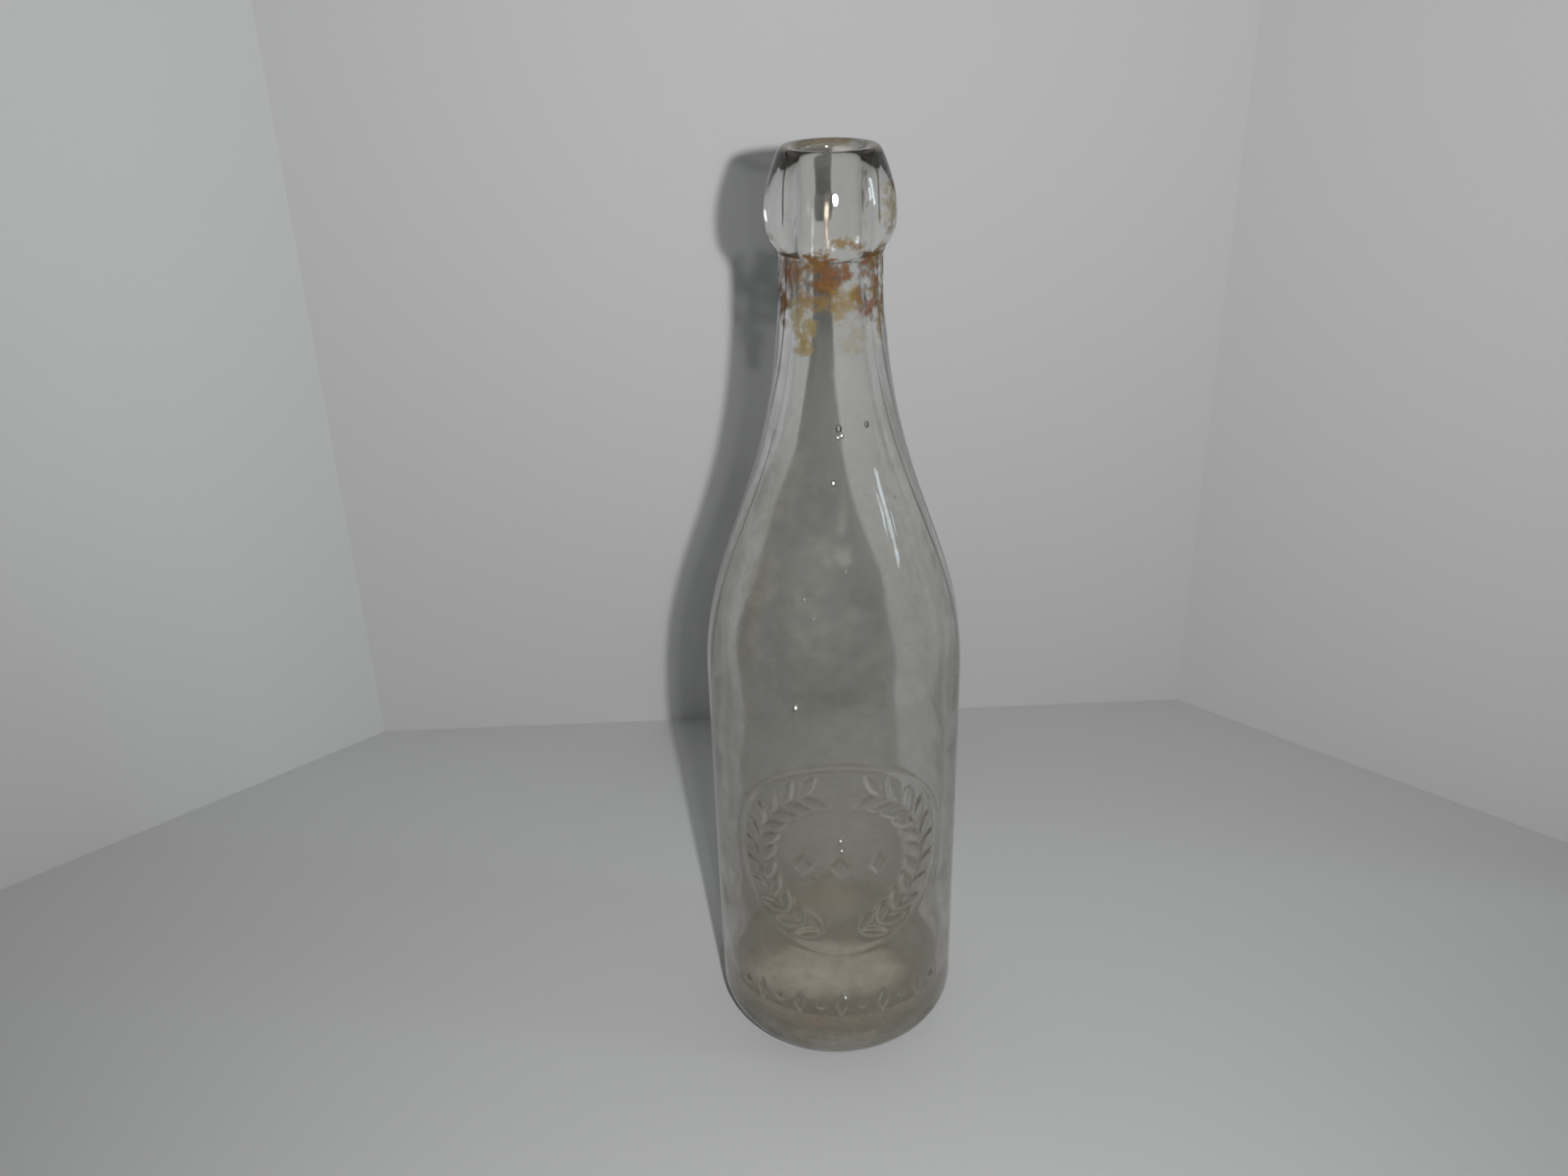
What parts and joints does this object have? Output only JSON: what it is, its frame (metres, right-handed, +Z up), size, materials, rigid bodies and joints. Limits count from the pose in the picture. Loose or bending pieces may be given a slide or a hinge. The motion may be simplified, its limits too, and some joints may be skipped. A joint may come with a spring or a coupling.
{
  "type": "blob top beer bottle",
  "caption": "Clear glass beer bottle with a straight body, long ogee shoulder and a thick rounded blob lip laid round the neck, open at the mouth",
  "frame": {"origin": "centre of the foot ring, on the surface that the bottle stands on", "axes": "+Z up along the bottle's axis to the mouth; the front with the round plate faces -Y; the mould seams are at -X and +X"},
  "size_m": [0.0646, 0.0645, 0.235],
  "materials": {
    "body_glass": "clear, faintly grey, slightly wavy blown glass",
    "lip_glass": "clear, faintly grey, fire-polished glass",
    "rust_stain": "dry rust left on the neck by an iron wire",
    "dried_residue": "thin dried haze inside the bottle"
  },
  "bodies": {
    "root": {"bottle_body": "body_glass", "blob_lip": "lip_glass"}
  },
  "joints": []
}
